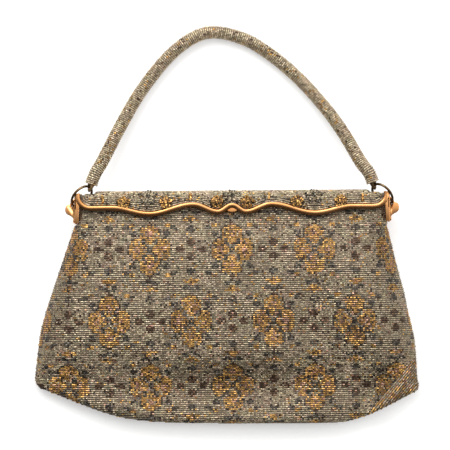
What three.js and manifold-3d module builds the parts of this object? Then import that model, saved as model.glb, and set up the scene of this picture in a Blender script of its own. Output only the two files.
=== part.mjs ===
// A beaded evening handbag on a gilt wave frame, lying on its back.
// Millimetres, +Z up. The front faces +Z, the width runs along X and the handle lies towards +Y.
// The origin is on the table, under the middle of the bag's box.

import * as THREE from 'three';
import { mergeVertices } from 'three/addons/utils/BufferGeometryUtils.js';
import Module from 'manifold-3d';

const wasm = await Module();
wasm.setup();

// Driving dimensions of the whole bag
const GAP = 0.3;
const HINGE_LINE = { x: 4.45, y: 3.9 };
const HINGE_HEIGHT = 11.75;
const SIDES = [
  { name: 'left', sign: -1 },
  { name: 'right', sign: 1 },
];
const HALVES = [
  { name: 'front', facing: 1 },
  { name: 'back', facing: -1 },
];

// Gilt rails: across and up are measured from the middle of the hinge line, depth from the closing plane
const RAIL_BACK = 8.2;
const RAIL_FRONT = 11.6;
const RAIL_HALF_HEIGHT = 1.7;
const RAIL_CORNER_RADIUS = 8.8;
const RAIL_END_ACROSS = 105;
const RAIL_TOP = 18.4;
const RAIL_STEPS = 70;
const WAVE = [
  { across: 0, up: 9.7 },
  { across: 9.5, up: 5.3 },
  { across: 26.6, up: 10.2 },
  { across: 56.3, up: 4.1 },
  { across: 82, up: 8.4 },
  { across: RAIL_END_ACROSS - RAIL_CORNER_RADIUS, up: 8.3 },
];
const LIFT_TAB = { halfWidth: 4.2, top: 8.6, bottom: 3.9, back: 8.6, front: 10.2 };

// End arms, hinge rivets and ring lugs
const ARM_THICKNESS = 1.35;
const ARM_OUTER = 11;
const ARM_INNER = 4.6;
const ARM_BEND = 7.5;
const FRONT_ARM_ACROSS = 106.9;
const BACK_ARM_ACROSS = FRONT_ARM_ACROSS - ARM_THICKNESS - GAP;
const EYE_RADIUS = 2.5;
const FLANGE = { topWidth: 3.5, footWidth: 2.6, foot: -2, thickness: 1.4 };
const RIVET = { radius: 1.2, headRadius: 2, headHeight: 1 };
const LUG = { back: 4.7, front: 6.5, root: 106, top: 15.4, foot: 0.2 };
const LUG_CURVES = [
  { bendAcross: 109, bendUp: 14, across: 110, up: 11.6 },
  { bendAcross: 110.1, bendUp: 10.9, across: 111, up: 10.9 },
  { bendAcross: 113.1, bendUp: 10.6, across: 113.3, up: 7.7 },
  { bendAcross: 113.5, bendUp: 4.8, across: 110.8, up: 3.7 },
  { bendAcross: 108.3, bendUp: 2.7, across: 107, up: LUG.foot },
];

// Rings and the handle's end clips, in one leaning plane on each side
const RING_WIRE_RADIUS = 0.85;
const RING_LEAN = THREE.MathUtils.degToRad(55);
const RING_DEPTH = 5.6;
const LUG_HOLE = { across: 107.9, up: 10.6 };
const CLIP_HOLE = { across: 96.2, up: 22.4 };
const RING_CLEARANCE = 0.4;
const CLIP = {
  reach: 2.4,
  shoulder: 1.9,
  nose: 4.4,
  tipHalfWidth: 1.25,
  topHalfWidth: 2.5,
  halfDepth: 2,
  lean: 0.32,
};

// Beaded strips that roof the frame
const PANEL_RADIUS = 10;
const PANEL_THICKNESS = 1.6;
const PANEL_ARC_UP = 9.4;
const PANEL_END_ACROSS = RAIL_END_ACROSS - RAIL_HALF_HEIGHT - GAP;
const PANEL_STATIONS = { middle: 14, middleSteps: 6, longSteps: 12, endSteps: 5 };
const PANEL_ARC_STEPS = 5;
const NOTCH = { across: 91.8, run: 1.6, halfDepth: 4.7 };

// Pouch wall
const WALL = 1.8;
const MOUTH_HALF_DEPTH = 7.7;
const POUCH_COLUMNS = 24;
const ROWS_PER_STEP = 2;
const COLUMN_CROWDING = 0.65;
const POUCH_ROUND = { bottomFront: 13, bottomBack: 9, sideBack: 12 };

// The pouch's edges from the mouth to the bottom corners. A row bows by bow away from the line
// between its ends, and the runs are the shares of the width over which it does so.
// The mouth dips at its ends, under the rings.
const POUCH_ROWS = [
  { leftX: -98.9, leftY: 9.4, rightX: 107.8, rightY: 9.4, bow: 5.5, leftRun: 0.025, rightRun: 0.025 },
  { leftX: -99, leftY: 0.9, rightX: 107.9, rightY: 0.9, bow: 6.1, leftRun: 0.03, rightRun: 0.03 },
  { leftX: -103.1, leftY: -0.2, rightX: 109.8, rightY: -0.3, bow: -1.2, leftRun: 0.08, rightRun: 0.08 },
  { leftX: -112, leftY: -25.6, rightX: 116, rightY: -27.3, bow: 0, leftRun: 0.2, rightRun: 0.2 },
  { leftX: -117.6, leftY: -41.9, rightX: 120.6, rightY: -43.8, bow: 0, leftRun: 0.22, rightRun: 0.2 },
  { leftX: -123.2, leftY: -58.2, rightX: 123.9, rightY: -60.2, bow: -1, leftRun: 0.23, rightRun: 0.2 },
  { leftX: -127.4, leftY: -74.6, rightX: 127.9, rightY: -76.6, bow: -6, leftRun: 0.23, rightRun: 0.18 },
  { leftX: -129.1, leftY: -89, rightX: 129, rightY: -91, bow: -12.5, leftRun: 0.23, rightRun: 0.175 },
  { leftX: -130.4, leftY: -100, rightX: 129.6, rightY: -103, bow: -18, leftRun: 0.23, rightRun: 0.172 },
  { leftX: -130.65, leftY: -105.5, rightX: 130.65, rightY: -109.5, bow: -21.6, leftRun: 0.23, rightRun: 0.172 },
  { leftX: -128, leftY: -109.6, rightX: 130.4, rightY: -113.2, bow: -23.45, leftRun: 0.23, rightRun: 0.172 },
];

// How the pouch stands above the table down its length, and how softly it falls to its sides
const POUCH_PROFILE = [
  { y: 16, front: HINGE_HEIGHT + MOUTH_HALF_DEPTH, back: HINGE_HEIGHT - MOUTH_HALF_DEPTH, edge: 11.75, side: 3 },
  { y: 6, front: HINGE_HEIGHT + MOUTH_HALF_DEPTH, back: HINGE_HEIGHT - MOUTH_HALF_DEPTH, edge: 11.75, side: 3 },
  { y: -2, front: 21.6, back: 3.2, edge: 11.5, side: 6 },
  { y: -15, front: 26.2, back: 1.2, edge: 10.6, side: 20 },
  { y: -32, front: 29.6, back: 0, edge: 9.8, side: 32 },
  { y: -60, front: 31.6, back: 0, edge: 8.8, side: 36 },
  { y: -80, front: 29.6, back: 0, edge: 8, side: 36 },
  { y: -95, front: 23, back: 0, edge: 7.4, side: 30 },
  { y: -106, front: 15.6, back: 0, edge: 7, side: 24 },
  { y: -114, front: 13.6, back: 0, edge: 6.8, side: 18 },
  { y: -124, front: 14.2, back: 0, edge: 6.6, side: 14 },
  { y: -136, front: 13.6, back: 0, edge: 6.4, side: 12 },
];

// Soft creases pressed into the front, each along a line
const FOLDS = [
  { fromX: 59, fromY: -40, toX: 59, toY: -88, depth: 3, width: 8 },
  { fromX: 84, fromY: -86, toX: 95, toY: -116, depth: 4.5, width: 8 },
  { fromX: 118, fromY: -93, toX: 97, toY: -111, depth: 4, width: 8 },
  { fromX: -124, fromY: -100, toX: -100, toY: -106, depth: 2.5, width: 8 },
];

// Handle route: across and up from the hinge line's middle, height above the table
const HANDLE_RADIUS = 4.2;
const HANDLE_SIDES = 10;
const HANDLE_STEPS = 52;
const HANDLE_END_HEIGHT = HINGE_HEIGHT + RING_DEPTH;
const HANDLE_ROUTE = [
  { across: -92.8, up: 31.8, height: 17.1 },
  { across: -87.2, up: 41.3, height: 14.4 },
  { across: -76.1, up: 62.7, height: 9 },
  { across: -65, up: 82.1, height: 6 },
  { across: -54, up: 97.7, height: 4.8 },
  { across: -43, up: 110.5, height: 4.6 },
  { across: -32, up: 120, height: 4.6 },
  { across: -21, up: 126, height: 4.6 },
  { across: -12.8, up: 127.55, height: 4.6 },
  { across: -4.6, up: 126.8, height: 4.6 },
  { across: 6.3, up: 123.8, height: 4.6 },
  { across: 17.1, up: 118.6, height: 4.6 },
  { across: 33.4, up: 106.9, height: 4.6 },
  { across: 49.7, up: 91.7, height: 4.9 },
  { across: 65.9, up: 72.8, height: 6.4 },
  { across: 76.7, up: 57.1, height: 9.4 },
  { across: 87.5, up: 38.4, height: 15 },
  { across: 92.9, up: 31.4, height: 17.1 },
];

// Materials
const beadedCloth = new THREE.MeshStandardMaterial({ color: 0x8c7c66, roughness: 0.45, metalness: 0.3 });
const gilt = new THREE.MeshStandardMaterial({ color: 0xd9a05a, roughness: 0.28, metalness: 1 });
const antiqueBrass = new THREE.MeshStandardMaterial({ color: 0x5c4a34, roughness: 0.4, metalness: 1 });

// Helpers for joining and cutting

function toSolid(geometry) {
  const bare = geometry.clone();
  bare.deleteAttribute('normal');
  bare.deleteAttribute('uv');
  const merged = mergeVertices(bare, 1e-4);
  const vertProperties = new Float32Array(merged.attributes.position.array);
  const triVerts = new Uint32Array(merged.index.array);
  return new wasm.Manifold(new wasm.Mesh({ numProp: 3, vertProperties, triVerts }));
}

function toGeometry(solid) {
  const mesh = solid.getMesh();
  const geometry = new THREE.BufferGeometry();
  geometry.setAttribute('position', new THREE.BufferAttribute(new Float32Array(mesh.vertProperties), 3));
  geometry.setIndex(new THREE.BufferAttribute(new Uint32Array(mesh.triVerts), 1));
  return geometry;
}

function joined(geometries) {
  const solids = geometries.map(toSolid);
  return solids.reduce((whole, solid) => whole.add(solid));
}

function piece(name, geometry, material) {
  const mesh = new THREE.Mesh(geometry, material);
  mesh.name = name;
  return mesh;
}

function smoothstep(x) {
  return THREE.MathUtils.smoothstep(x, 0, 1);
}

// Value of a named column at y, in a table whose rows run from high y to low y
function fromTable(table, column, y) {
  const last = table.length - 1;
  if (y >= table[0].y) return table[0][column];
  if (y <= table[last].y) return table[last][column];
  const next = table.findIndex((row) => row.y <= y);
  const above = table[next - 1];
  const below = table[next];
  const share = (above.y - y) / (above.y - below.y);
  return THREE.MathUtils.lerp(above[column], below[column], smoothstep(share));
}

// A closed solid from triangles of points
function fromTriangles(triangles) {
  const geometry = new THREE.BufferGeometry().setFromPoints(triangles.flat());
  return mergeVertices(geometry, 1e-4);
}

function quad(triangles, a, b, c, d) {
  triangles.push([a, b, c], [a, c, d]);
}

// Gilt rails

function railHeight(across) {
  const reach = Math.abs(across);
  const next = Math.max(1, WAVE.findIndex((row) => row.across >= reach));
  const from = WAVE[next - 1];
  const to = WAVE[next];
  const share = (reach - from.across) / (to.across - from.across);
  return THREE.MathUtils.lerp(from.up, to.up, (1 - Math.cos(Math.PI * share)) / 2);
}

function railPath(depth) {
  const cornerAcross = RAIL_END_ACROSS - RAIL_CORNER_RADIUS;
  const cornerUp = WAVE.at(-1).up + RAIL_CORNER_RADIUS;
  const right = [];
  const waveSteps = 40;
  for (let i = 0; i <= waveSteps; i += 1) {
    const across = (cornerAcross * i) / waveSteps;
    right.push([across, railHeight(across)]);
  }
  const cornerSteps = 6;
  for (let i = 1; i <= cornerSteps; i += 1) {
    const turn = (Math.PI / 2) * (i / cornerSteps);
    right.push([
      cornerAcross + RAIL_CORNER_RADIUS * Math.sin(turn),
      cornerUp - RAIL_CORNER_RADIUS * Math.cos(turn),
    ]);
  }
  right.push([RAIL_END_ACROSS, RAIL_TOP]);
  const left = right.slice(1).reverse().map(([across, up]) => [-across, up]);
  const points = [...left, ...right].map(([across, up]) => new THREE.Vector3(across, up, depth));
  const path = new THREE.CatmullRomCurve3(points);
  path.arcLengthDivisions = 800;
  return path;
}

// Cross-section of a rail: a rounded moulding with a flat back, seen along the rail, front side at facing
function railSection(facing) {
  const half = (RAIL_FRONT - RAIL_BACK) / 2;
  const h = RAIL_HALF_HEIGHT;
  const outline = [
    [-half, h],
    [half * 0.4, h],
    [half * 0.9, h * 0.65],
    [half, h * 0.1],
    [half * 0.72, h * -0.55],
    [half * 0.1, -h],
    [-half, -h],
  ];
  return new THREE.Shape(outline.map(([out, up]) => new THREE.Vector2(-facing * out, up)));
}

function rail(facing) {
  const depth = (facing * (RAIL_FRONT + RAIL_BACK)) / 2;
  return new THREE.ExtrudeGeometry(railSection(facing), { steps: RAIL_STEPS, extrudePath: railPath(depth) });
}

// An end arm, from the rail's corner down and in to the hinge eye
function arm(facing, side, outerFace) {
  const shape = new THREE.Shape();
  shape.moveTo(ARM_OUTER, RAIL_TOP);
  shape.lineTo(ARM_OUTER, ARM_BEND);
  shape.quadraticCurveTo(ARM_OUTER, -EYE_RADIUS, 0, -EYE_RADIUS);
  shape.absarc(0, 0, EYE_RADIUS, -Math.PI / 2, Math.PI / 2, true);
  shape.quadraticCurveTo(ARM_INNER, EYE_RADIUS, ARM_INNER, ARM_BEND);
  shape.lineTo(ARM_INNER, RAIL_TOP);
  const eye = new THREE.Path();
  eye.absarc(0, 0, RIVET.radius + GAP, 0, Math.PI * 2, false);
  shape.holes.push(eye);
  const plate = new THREE.ExtrudeGeometry(shape, {
    depth: ARM_THICKNESS,
    bevelEnabled: false,
    curveSegments: 5,
  });
  // The shape's x becomes depth, its y stays up, and its thickness runs across
  const turn = new THREE.Matrix4().makeBasis(
    new THREE.Vector3(0, 0, 1),
    new THREE.Vector3(0, 1, 0),
    new THREE.Vector3(-1, 0, 0),
  );
  plate.applyMatrix4(turn);
  if (facing < 0) plate.rotateY(Math.PI).translate(-ARM_THICKNESS, 0, 0);
  const across = side > 0 ? outerFace : -outerFace + ARM_THICKNESS;
  return plate.translate(across, 0, 0);
}

// The flange that carries the rail's line down the front arm's face
function armFlange(side) {
  const { topWidth, footWidth, foot, thickness } = FLANGE;
  const outer = side * FRONT_ARM_ACROSS;
  const shape = new THREE.Shape();
  shape.moveTo(outer, RAIL_TOP);
  shape.lineTo(outer, foot);
  shape.lineTo(outer - side * footWidth, foot);
  shape.lineTo(outer - side * topWidth, RAIL_TOP);
  const plate = new THREE.ExtrudeGeometry(shape, { depth: thickness, bevelEnabled: false });
  return plate.translate(0, 0, ARM_OUTER - thickness);
}

// A scroll-shaped lug outside the front arm, cut for the ring
function lug(side) {
  const shape = new THREE.Shape();
  shape.moveTo(side * LUG.root, LUG.top);
  for (const { bendAcross, bendUp, across, up } of LUG_CURVES) {
    shape.quadraticCurveTo(side * bendAcross, bendUp, side * across, up);
  }
  shape.lineTo(side * LUG.root, LUG.foot);
  const plate = new THREE.ExtrudeGeometry(shape, {
    depth: LUG.front - LUG.back,
    bevelEnabled: false,
    curveSegments: 6,
  });
  return plate.translate(0, 0, LUG.back);
}

// The small half-round tab under the middle peak
function liftTab() {
  const { halfWidth, top, bottom, back, front } = LIFT_TAB;
  const shape = new THREE.Shape();
  shape.moveTo(-halfWidth, top);
  shape.bezierCurveTo(-halfWidth, bottom, halfWidth, bottom, halfWidth, top);
  const plate = new THREE.ExtrudeGeometry(shape, {
    depth: front - back,
    bevelEnabled: false,
    curveSegments: 10,
  });
  return plate.translate(0, 0, back);
}

// Rings, and the torus that cuts room for them

function placeRing(geometry, side) {
  const lugEnd = new THREE.Vector3(side * LUG_HOLE.across, LUG_HOLE.up, 0);
  const clipEnd = new THREE.Vector3(side * CLIP_HOLE.across, CLIP_HOLE.up, 0);
  const along = clipEnd.sub(lugEnd).normalize();
  const outward = new THREE.Vector3(side * along.y, Math.abs(along.x), 0);
  const leaning = outward.multiplyScalar(Math.cos(RING_LEAN)).setZ(Math.sin(RING_LEAN));
  const normal = new THREE.Vector3().crossVectors(along, leaning);
  const place = new THREE.Matrix4().makeBasis(along, leaning, normal);
  place.setPosition(
    (side * (LUG_HOLE.across + CLIP_HOLE.across)) / 2,
    (LUG_HOLE.up + CLIP_HOLE.up) / 2,
    RING_DEPTH,
  );
  return geometry.applyMatrix4(place);
}

function ringRadius() {
  return Math.hypot(CLIP_HOLE.across - LUG_HOLE.across, CLIP_HOLE.up - LUG_HOLE.up) / 2;
}

function ring(side) {
  return placeRing(new THREE.TorusGeometry(ringRadius(), RING_WIRE_RADIUS, 6, 26), side);
}

function ringRoom(side) {
  const room = new THREE.TorusGeometry(ringRadius(), RING_WIRE_RADIUS + RING_CLEARANCE, 8, 36);
  return toSolid(placeRing(room, side));
}

function frontRail() {
  const arms = SIDES.map(({ sign }) => arm(1, sign, FRONT_ARM_ACROSS));
  const flanges = SIDES.map(({ sign }) => armFlange(sign));
  const lugs = SIDES.map(({ sign }) => lug(sign));
  let metal = joined([rail(1), ...arms, ...flanges, ...lugs, liftTab()]);
  for (const { sign } of SIDES) metal = metal.subtract(ringRoom(sign));
  return toGeometry(metal);
}

function backRail() {
  const arms = SIDES.map(({ sign }) => arm(-1, sign, BACK_ARM_ACROSS));
  return toGeometry(joined([rail(-1), ...arms]));
}

// A rivet through both arms, its head outside
function hingePin(side) {
  const { radius, headRadius, headHeight } = RIVET;
  const inside = BACK_ARM_ACROSS - ARM_THICKNESS;
  const headFoot = FRONT_ARM_ACROSS + GAP;
  const profile = [
    [0, inside],
    [radius, inside],
    [radius, headFoot],
    [headRadius, headFoot],
    [headRadius * 0.8, headFoot + headHeight * 0.8],
    [0, headFoot + headHeight],
  ];
  const pin = new THREE.LatheGeometry(profile.map(([r, y]) => new THREE.Vector2(r, y)), 12);
  return pin.rotateZ((-side * Math.PI) / 2);
}

// The wedge at the handle's end that the ring passes through
function clipAxis(side) {
  return new THREE.Vector3(-side * CLIP.lean, 1, 0).normalize();
}

function clip(side) {
  const { reach, shoulder, nose, tipHalfWidth, topHalfWidth, halfDepth } = CLIP;
  const shape = new THREE.Shape();
  shape.moveTo(-topHalfWidth, reach);
  shape.lineTo(-tipHalfWidth, -shoulder);
  shape.quadraticCurveTo(0, -nose, tipHalfWidth, -shoulder);
  shape.lineTo(topHalfWidth, reach);
  const wedge = new THREE.ExtrudeGeometry(shape, {
    depth: 2 * halfDepth,
    bevelEnabled: false,
    curveSegments: 6,
  });
  wedge.translate(0, 0, RING_DEPTH - halfDepth);
  const axis = clipAxis(side);
  wedge.rotateZ(Math.atan2(-axis.x, axis.y)).translate(side * CLIP_HOLE.across, CLIP_HOLE.up, 0);
  return toGeometry(toSolid(wedge).subtract(ringRoom(side)));
}

// Beaded strips

// Lower edge of a strip: just above its rail, round the corners too
function panelFoot(across) {
  const room = RAIL_HALF_HEIGHT + GAP;
  const reach = Math.abs(across);
  const cornerAcross = RAIL_END_ACROSS - RAIL_CORNER_RADIUS;
  if (reach <= cornerAcross) {
    // The highest point of a disc of that room, rolled along the rail nearby
    let foot = 0;
    for (let beside = -1; beside <= 1; beside += 0.1) {
      const near = Math.min(cornerAcross, Math.abs(reach + beside * room));
      foot = Math.max(foot, railHeight(near) + room * Math.sqrt(Math.max(0, 1 - beside * beside)));
    }
    return foot;
  }
  const inner = RAIL_CORNER_RADIUS - room;
  const run = Math.min(1, (reach - cornerAcross) / inner);
  return WAVE.at(-1).up + RAIL_CORNER_RADIUS - inner * Math.sqrt(1 - run * run);
}

// A point of the strip's section at a length along it, from its straight foot round to the ridge
function panelPoint(across, length, radius) {
  if (length <= PANEL_ARC_UP) return new THREE.Vector3(across, length, radius);
  const turn = (length - PANEL_ARC_UP) / PANEL_RADIUS;
  return new THREE.Vector3(across, PANEL_ARC_UP + radius * Math.sin(turn), radius * Math.cos(turn));
}

// The length at which the whole thickness of the strip has passed a height
function panelLengthAtHeight(up) {
  if (up <= PANEL_ARC_UP) return up;
  const inner = PANEL_RADIUS - PANEL_THICKNESS;
  return PANEL_ARC_UP + PANEL_RADIUS * Math.asin(Math.min(1, (up - PANEL_ARC_UP) / inner));
}

// Where a strip stops at the ridge: at the closing plane, or short of it in the end notches for the rings
function panelLengthAtTop(across) {
  const notch = smoothstep((Math.abs(across) - NOTCH.across) / NOTCH.run);
  const depth = THREE.MathUtils.lerp(GAP, NOTCH.halfDepth, notch);
  const inner = PANEL_RADIUS - PANEL_THICKNESS;
  return PANEL_ARC_UP + PANEL_RADIUS * Math.acos(depth / inner);
}

// Places across the strip: close together at the narrow middle wave, wider over the long ones
function panelStations() {
  const { middle, middleSteps, longSteps, endSteps } = PANEL_STATIONS;
  const stretches = [
    { from: 0, to: middle, steps: middleSteps },
    { from: middle, to: NOTCH.across, steps: longSteps },
    { from: NOTCH.across + NOTCH.run, to: PANEL_END_ACROSS, steps: endSteps },
  ];
  const stations = new Set();
  for (const { from, to, steps } of stretches) {
    for (let i = 0; i <= steps; i += 1) {
      const across = THREE.MathUtils.lerp(from, to, i / steps);
      stations.add(across);
      stations.add(-across);
    }
  }
  stations.delete(-0);
  stations.add(0);
  return [...stations].sort((a, b) => a - b);
}

function panel() {
  const surface = (radius) => panelStations().map((across) => {
    const foot = panelLengthAtHeight(panelFoot(across));
    const top = panelLengthAtTop(across);
    const points = [];
    for (let j = 0; j <= PANEL_ARC_STEPS; j += 1) {
      points.push(panelPoint(across, THREE.MathUtils.lerp(foot, top, j / PANEL_ARC_STEPS), radius));
    }
    return points;
  });
  const outer = surface(PANEL_RADIUS);
  const inner = surface(PANEL_RADIUS - PANEL_THICKNESS);
  const triangles = [];
  const lastColumn = outer.length - 1;
  const lastRow = PANEL_ARC_STEPS;
  for (let i = 0; i < lastColumn; i += 1) {
    for (let j = 0; j < lastRow; j += 1) {
      quad(triangles, outer[i][j], outer[i + 1][j], outer[i + 1][j + 1], outer[i][j + 1]);
      quad(triangles, inner[i][j], inner[i][j + 1], inner[i + 1][j + 1], inner[i + 1][j]);
    }
    quad(triangles, inner[i][0], inner[i + 1][0], outer[i + 1][0], outer[i][0]);
    quad(triangles, outer[i][lastRow], outer[i + 1][lastRow], inner[i + 1][lastRow], inner[i][lastRow]);
  }
  const outerEnd = outer[lastColumn];
  const innerEnd = inner[lastColumn];
  for (let j = 0; j < lastRow; j += 1) {
    quad(triangles, inner[0][j], outer[0][j], outer[0][j + 1], inner[0][j + 1]);
    quad(triangles, outerEnd[j], innerEnd[j], innerEnd[j + 1], outerEnd[j + 1]);
  }
  return fromTriangles(triangles);
}

// Pouch

// A quarter-round rise from 0 at the edge to 1 at the given reach
function roundRise(distance, reach) {
  const share = THREE.MathUtils.clamp(distance / reach, 0, 1);
  return Math.sqrt(1 - (1 - share) ** 2);
}

function foldDepth(x, y) {
  const place = new THREE.Vector3(x, y, 0);
  const near = new THREE.Vector3();
  let depth = 0;
  for (const fold of FOLDS) {
    const start = new THREE.Vector3(fold.fromX, fold.fromY, 0);
    const end = new THREE.Vector3(fold.toX, fold.toY, 0);
    new THREE.Line3(start, end).closestPointToPoint(place, true, near);
    const distance = near.distanceTo(place) / fold.width;
    depth += fold.depth * Math.exp(-distance * distance);
  }
  return depth;
}

// The row of edge values at a place between the table's rows, 0 at the mouth and 1 at the bottom
function pouchRow(down) {
  const place = down * (POUCH_ROWS.length - 1);
  const index = Math.min(Math.floor(place), POUCH_ROWS.length - 2);
  const above = POUCH_ROWS[index];
  const below = POUCH_ROWS[index + 1];
  const row = {};
  for (const column of Object.keys(above)) {
    row[column] = THREE.MathUtils.lerp(above[column], below[column], place - index);
  }
  return row;
}

// Rises evenly from 0 and rounds off to 1
function softRamp(x) {
  const sharpness = 6;
  return x / (1 + x ** sharpness) ** (1 / sharpness);
}

function rowY(row, share) {
  const straight = THREE.MathUtils.lerp(row.leftY, row.rightY, share);
  return straight + row.bow * softRamp(share / row.leftRun) * softRamp((1 - share) / row.rightRun);
}

// A point of the pouch: share runs from the left edge to the right one, down from the mouth to the bottom
function pouchPoint(share, down, face, inset) {
  const row = pouchRow(down);
  const left = row.leftX + inset;
  const right = row.rightX - inset;
  const x = THREE.MathUtils.lerp(left, right, share);
  const bottom = rowY(POUCH_ROWS.at(-1), share);
  const y = rowY(row, share) + inset * down;
  const fromSide = Math.min(x - left, right - x);
  const fromBottom = (y - inset - bottom) * Math.cos(Math.PI / 8) + inset * (1 - down);
  const edge = fromTable(POUCH_PROFILE, 'edge', y) + (face * GAP) / 2;
  const sideReach = fromTable(POUCH_PROFILE, 'side', y);
  if (face > 0) {
    const top = fromTable(POUCH_PROFILE, 'front', y) - foldDepth(x, y) - inset;
    const rise = roundRise(fromSide, sideReach) * roundRise(fromBottom, POUCH_ROUND.bottomFront);
    return new THREE.Vector3(x, y, THREE.MathUtils.lerp(edge, top, rise));
  }
  const base = fromTable(POUCH_PROFILE, 'back', y) + inset;
  const reach = Math.min(POUCH_ROUND.sideBack, sideReach);
  const fall = roundRise(fromSide, reach) * roundRise(fromBottom, POUCH_ROUND.bottomBack);
  return new THREE.Vector3(x, y, THREE.MathUtils.lerp(edge, base, fall));
}

// Places across the pouch, from 0 to 1, closer together towards its edges
function pouchShares() {
  const shares = [];
  for (let i = 0; i <= POUCH_COLUMNS; i += 1) {
    const even = i / POUCH_COLUMNS;
    const crowded = (1 - Math.cos(Math.PI * even)) / 2;
    shares.push(THREE.MathUtils.lerp(even, crowded, COLUMN_CROWDING));
  }
  return shares;
}

// The front or the back cloth of the pouch. The two meet along the sides and the bottom, where they are sewn.
function pouchCloth(face) {
  const rows = (POUCH_ROWS.length - 1) * ROWS_PER_STEP;
  const shares = pouchShares();
  const surface = (inset) => {
    const lines = [];
    for (let j = 0; j <= rows; j += 1) {
      lines.push(shares.map((share) => pouchPoint(share, j / rows, face, inset)));
    }
    return lines;
  };
  const outer = surface(0);
  const inner = surface(WALL);
  const triangles = [];
  for (let i = 0; i < POUCH_COLUMNS; i += 1) {
    for (let j = 0; j < rows; j += 1) {
      quad(triangles, outer[j][i], outer[j + 1][i], outer[j + 1][i + 1], outer[j][i + 1]);
      quad(triangles, inner[j][i], inner[j][i + 1], inner[j + 1][i + 1], inner[j + 1][i]);
    }
    quad(triangles, outer[0][i], outer[0][i + 1], inner[0][i + 1], inner[0][i]);
    quad(triangles, outer[rows][i], inner[rows][i], inner[rows][i + 1], outer[rows][i + 1]);
  }
  for (let j = 0; j < rows; j += 1) {
    quad(triangles, outer[j][0], inner[j][0], inner[j + 1][0], outer[j + 1][0]);
    const last = POUCH_COLUMNS;
    quad(triangles, outer[j][last], outer[j + 1][last], inner[j + 1][last], inner[j][last]);
  }
  const real = triangles.filter(([a, b, c]) => new THREE.Triangle(a, b, c).getArea() > 1e-6);
  const facing = face > 0 ? real : real.map(([a, b, c]) => [a, c, b]);
  return fromTriangles(facing);
}

// Handle

function handle() {
  const end = (side) => {
    const point = new THREE.Vector3(side * CLIP_HOLE.across, CLIP_HOLE.up, HANDLE_END_HEIGHT);
    return point.addScaledVector(clipAxis(side), CLIP.reach + GAP);
  };
  const route = HANDLE_ROUTE.map(({ across, up, height }) => new THREE.Vector3(across, up, height));
  const path = new THREE.CatmullRomCurve3([end(-1), ...route, end(1)]);
  const section = new THREE.Shape();
  section.absarc(0, 0, HANDLE_RADIUS, 0, Math.PI * 2, false);
  return new THREE.ExtrudeGeometry(section, {
    steps: HANDLE_STEPS,
    extrudePath: path,
    curveSegments: HANDLE_SIDES / 2,
  });
}

// The bag: the frame and what hangs on it are placed from the hinge line, the pouch from the table

const bag = new THREE.Group();
for (const { name, facing } of HALVES) {
  bag.add(piece(`${name}_pouch_cloth`, pouchCloth(facing), beadedCloth));
}

const frame = new THREE.Group();
frame.position.set(HINGE_LINE.x, HINGE_LINE.y, HINGE_HEIGHT);
frame.add(piece('front_rail', frontRail(), gilt));
frame.add(piece('back_rail', backRail(), gilt));
for (const { name, facing } of HALVES) {
  const strip = panel();
  if (facing < 0) strip.rotateY(Math.PI);
  frame.add(piece(`${name}_top_panel`, strip, beadedCloth));
}
for (const { name, sign } of SIDES) {
  frame.add(piece(`hinge_pin_${name}`, hingePin(sign), gilt));
  frame.add(piece(`ring_${name}`, ring(sign), antiqueBrass));
  frame.add(piece(`clip_${name}`, clip(sign), antiqueBrass));
}
bag.add(frame);

const handleMesh = piece('handle', handle(), beadedCloth);
handleMesh.position.set(HINGE_LINE.x, HINGE_LINE.y, 0);
bag.add(handleMesh);

export default bag;
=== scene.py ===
# Looks of a beaded evening handbag that lies on its back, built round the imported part.
import math
import random

import bmesh
import bpy
import numpy as np
from mathutils import Matrix, Vector
from mathutils.bvhtree import BVHTree


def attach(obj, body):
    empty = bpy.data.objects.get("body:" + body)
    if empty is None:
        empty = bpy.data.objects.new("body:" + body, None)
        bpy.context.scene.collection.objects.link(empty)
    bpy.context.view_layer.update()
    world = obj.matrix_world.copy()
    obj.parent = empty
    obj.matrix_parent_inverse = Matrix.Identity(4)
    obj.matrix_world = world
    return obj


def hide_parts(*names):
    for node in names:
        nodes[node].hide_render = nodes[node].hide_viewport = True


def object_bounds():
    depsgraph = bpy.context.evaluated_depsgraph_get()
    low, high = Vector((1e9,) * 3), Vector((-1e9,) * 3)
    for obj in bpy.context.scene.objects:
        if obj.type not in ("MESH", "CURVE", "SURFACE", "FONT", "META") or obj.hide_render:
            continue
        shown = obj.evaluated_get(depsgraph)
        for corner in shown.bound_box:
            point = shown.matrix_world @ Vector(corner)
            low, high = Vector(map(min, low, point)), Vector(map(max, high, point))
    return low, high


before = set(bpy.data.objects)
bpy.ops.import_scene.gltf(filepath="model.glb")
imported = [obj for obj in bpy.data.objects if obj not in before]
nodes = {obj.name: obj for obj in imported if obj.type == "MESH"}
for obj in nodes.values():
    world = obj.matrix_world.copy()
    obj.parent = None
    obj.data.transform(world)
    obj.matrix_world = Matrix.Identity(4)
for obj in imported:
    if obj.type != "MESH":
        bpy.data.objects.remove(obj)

cadLow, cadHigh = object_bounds()
mm = 0.001
mergeReach = 0.002 * mm
collection = bpy.context.scene.collection


def toLinear(hexColour):
    parts = [int(hexColour[i:i + 2], 16) / 255 for i in (1, 3, 5)]
    return tuple(p / 12.92 if p <= 0.04045 else ((p + 0.055) / 1.055) ** 2.4 for p in parts) + (1.0,)


# Adds a node, with its settings, and links or values on its inputs
def addNode(tree, kind, inputs=None, **settings):
    node = tree.nodes.new(kind)
    for name, value in settings.items():
        setattr(node, name, value)
    for socket, value in (inputs or {}).items():
        if isinstance(value, bpy.types.NodeSocket):
            tree.links.new(value, node.inputs[socket])
        else:
            node.inputs[socket].default_value = value
    return node


# A new material, its tree, and the place on the object that its patterns read
def newMaterial(name):
    material = bpy.data.materials.new(name)
    material.use_nodes = True
    tree = material.node_tree
    tree.nodes.clear()
    return material, tree, addNode(tree, "ShaderNodeTexCoord").outputs["Object"]


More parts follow.
